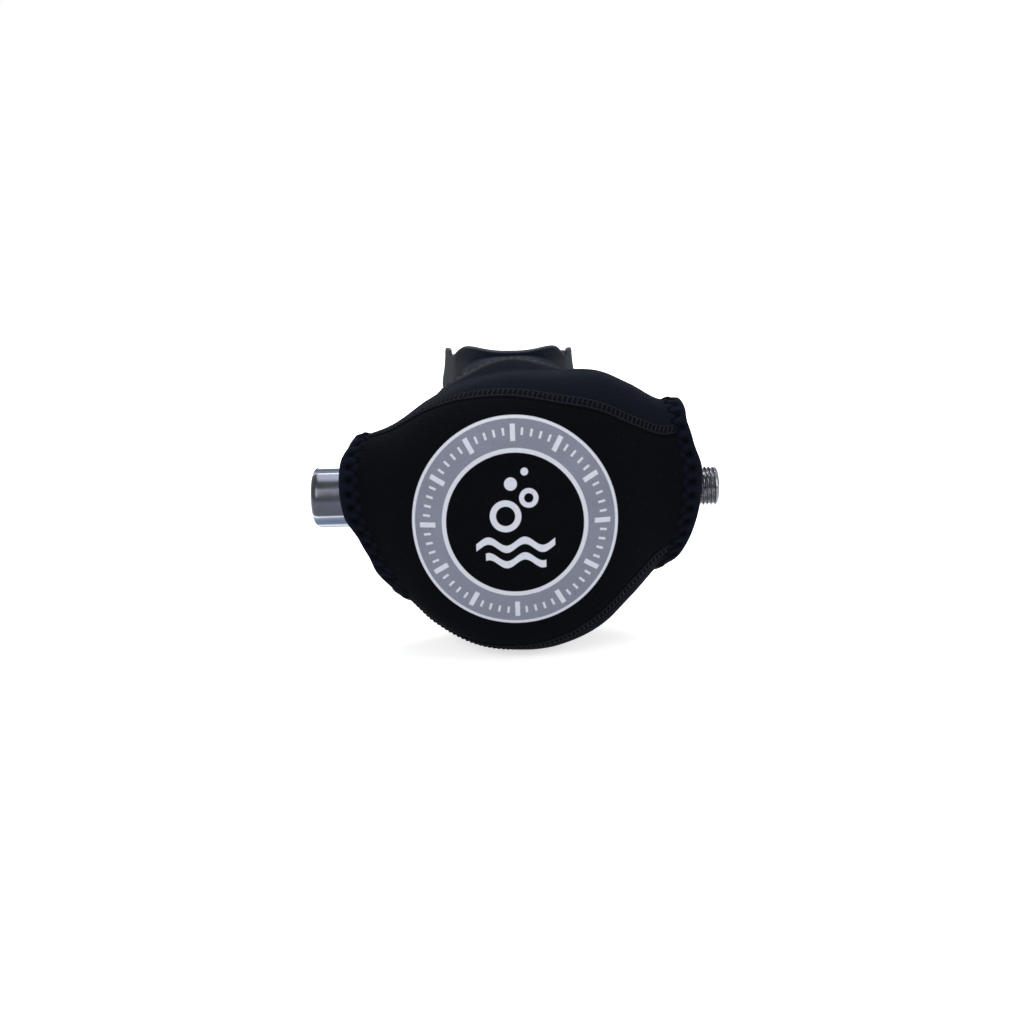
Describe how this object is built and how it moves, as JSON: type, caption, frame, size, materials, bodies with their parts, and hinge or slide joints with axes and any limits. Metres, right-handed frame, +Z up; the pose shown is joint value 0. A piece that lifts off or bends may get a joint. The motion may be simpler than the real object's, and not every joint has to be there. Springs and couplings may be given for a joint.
{
  "type": "diving regulator second stage",
  "caption": "Adjustable second-stage diving regulator in a fitted neoprene cover, with a purge button behind its face, a knob, a threaded hose inlet, an exhaust tee and a mouthpiece.",
  "frame": {"origin": "on the air barrel's axis, in the middle of the hose inlet's thread", "axes": "+X along the barrel and out of the hose inlet, -Y out of the purge face and +Y out of the mouthpiece, +Z up as worn; it is stored standing on the cover's lowest line and the exhaust tee's two wing tips"},
  "size_m": [0.1467, 0.1153, 0.1054],
  "materials": {
    "chromed_brass": "polished",
    "bare_brass": "machined",
    "steel": "satin",
    "spring_steel": "bright drawn",
    "black_shell": "fine matt",
    "white_plastic": "moulded",
    "clear_silicone": "soft",
    "mouth_silicone": "soft satin",
    "hood_rubber": "soft satin",
    "seal_rubber": "soft",
    "black_nylon": "moulded",
    "neoprene": "knit-faced foam",
    "neoprene_hem": "folded and stitched"
  },
  "bodies": {
    "housing": {"inlet_fitting": "chromed_brass", "barrel_nut": "chromed_brass", "air_barrel": "chromed_brass", "spindle_gland": "bare_brass", "orifice": "steel", "clamp_ring": "steel", "clamp_screw": "steel", "purge_spring": "spring_steel", "main_spring": "spring_steel", "case": "black_shell", "front_cover": "black_shell", "air_deflector": "black_shell", "diaphragm": "clear_silicone", "exhaust_valve": "clear_silicone", "mouthpiece": "mouth_silicone", "exhaust_tee": "hood_rubber", "barrel_seals": "seal_rubber", "orifice_seal": "seal_rubber", "mouthpiece_tie": "black_nylon", "cover_face_panel": "neoprene", "cover_top_panel": "neoprene", "cover_bottom_panel": "neoprene", "cover_left_hem": "neoprene_hem", "cover_right_hem": "neoprene_hem", "cover_back_binding": "neoprene_hem"},
    "purge_button": {"purge_button": "black_shell"},
    "diaphragm_plate": {"diaphragm_plate": "steel"},
    "demand_lever": {"demand_lever": "steel"},
    "poppet": {"poppet": "white_plastic", "poppet_seat": "seal_rubber", "poppet_washer": "steel", "poppet_locknut": "bare_brass"},
    "knob": {"adjusting_knob": "chromed_brass", "knob_spindle": "bare_brass", "knob_cap": "chromed_brass"},
    "spring_adjuster": {"spring_adjuster": "bare_brass", "balance_plug": "white_plastic"}
  },
  "joints": [
    {"name": "purge_press", "type": "slide", "parent": "housing", "child": "purge_button", "axis": [0, 1, 0], "range_m": [0, 0.0036], "stiffness_N_per_m": 700, "springref_m": -0.0015, "deforming": ["purge_spring", "diaphragm"]},
    {"name": "plate_lift", "type": "slide", "parent": "housing", "child": "diaphragm_plate", "axis": [0, 1, 0], "range_m": [0, 0.0037]},
    {"name": "lever_swing", "type": "hinge", "parent": "housing", "child": "demand_lever", "pos_m": [-0.0842, -0.0083, 0], "axis": [0, 0, 1], "range_deg": [0, 9.4]},
    {"name": "poppet_slide", "type": "slide", "parent": "housing", "child": "poppet", "axis": [-1, 0, 0], "range_m": [0, 0.0012], "deforming": ["main_spring"]},
    {"name": "knob_turn", "type": "hinge", "parent": "housing", "child": "knob", "pos_m": [-0.1273, 0, 0], "axis": [1, 0, 0], "range_deg": [0, 1440]},
    {"name": "adjuster_slide", "type": "slide", "parent": "housing", "child": "spring_adjuster", "axis": [1, 0, 0], "range_m": [0, 0.0041], "deforming": ["main_spring"]}
  ],
  "couplings": [
    {"joint": "plate_lift", "follows": "purge_press", "ratio": 1},
    {"joint": "lever_swing", "follows": "purge_press", "rad_per_m": 45},
    {"joint": "poppet_slide", "follows": "purge_press", "ratio": 0.325},
    {"joint": "adjuster_slide", "follows": "knob_turn", "m_per_rad": 0.00015915}
  ]
}
